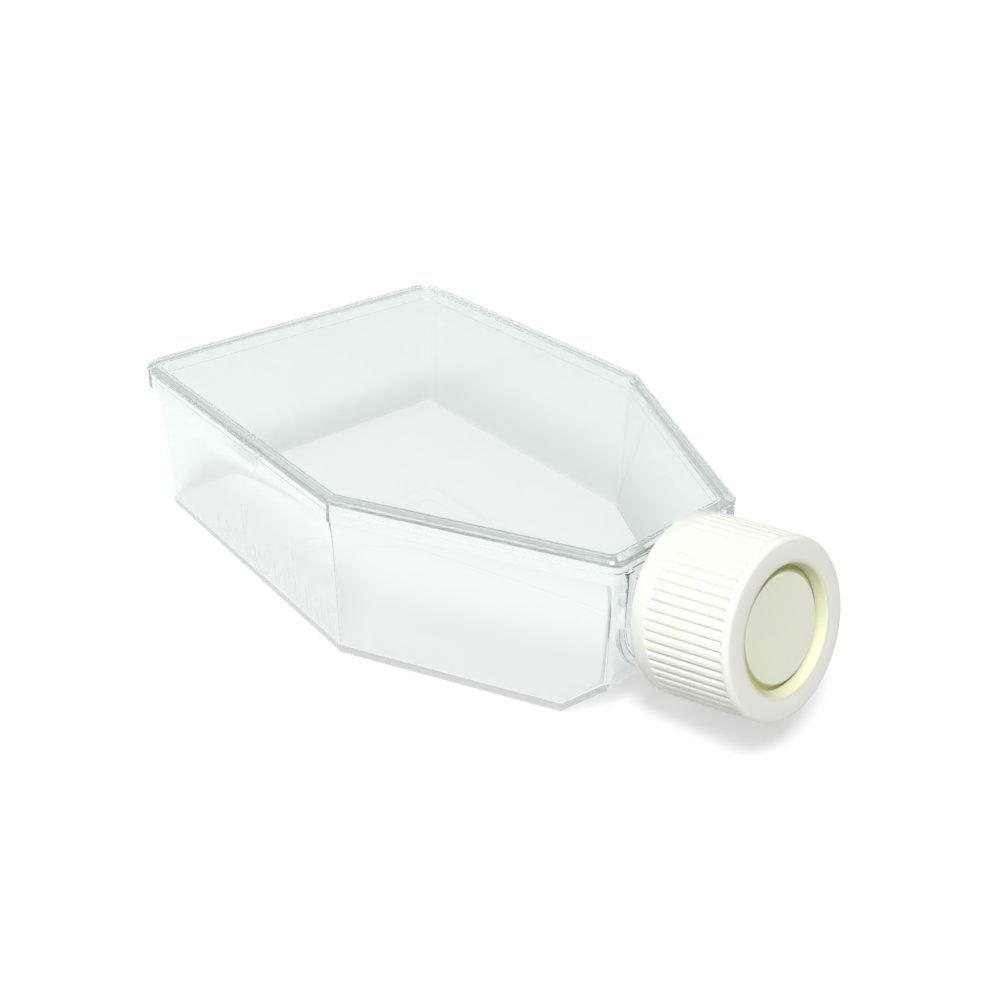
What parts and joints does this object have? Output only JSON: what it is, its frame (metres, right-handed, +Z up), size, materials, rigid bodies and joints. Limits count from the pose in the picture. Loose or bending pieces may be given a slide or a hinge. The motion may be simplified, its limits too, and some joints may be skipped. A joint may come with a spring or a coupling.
{
  "type": "cell culture flask",
  "caption": "Clear flat cell culture flask lying on its growth surface, with a welded top plate, a canted threaded neck and a ribbed screw cap over a loose seal.",
  "frame": {"origin": "centre of the flat underside that the flask lies on", "axes": "+X from the flask's rear end towards the cap, +Y across the flask, +Z up out of the top plate"},
  "size_m": [0.1531, 0.084, 0.0436],
  "materials": {
    "clear_body": "clear polished polystyrene",
    "clear_plate": "clear polished polystyrene",
    "ivory_cap": "ivory polyethylene, satin",
    "ivory_seal": "greyish ivory polyethylene, satin"
  },
  "bodies": {
    "flask": {"flask_body": "clear_body", "top_plate": "clear_plate"},
    "seal": {"cap_seal": "ivory_seal"},
    "cap": {"screw_cap": "ivory_cap"}
  },
  "joints": [
    {"name": "cap_lift", "type": "slide", "parent": "flask", "child": "seal", "axis": [0.9622, 0, 0.2723], "range_m": [0, 0.006]},
    {"name": "cap_turn", "type": "hinge", "parent": "seal", "child": "cap", "pos_m": [0.06645, 0, 0.02239], "axis": [0.9622, 0, 0.2723], "range_deg": [0, 540]}
  ],
  "couplings": [
    {"joint": "cap_lift", "follows": "cap_turn", "m_per_rad": 0.0006366}
  ]
}
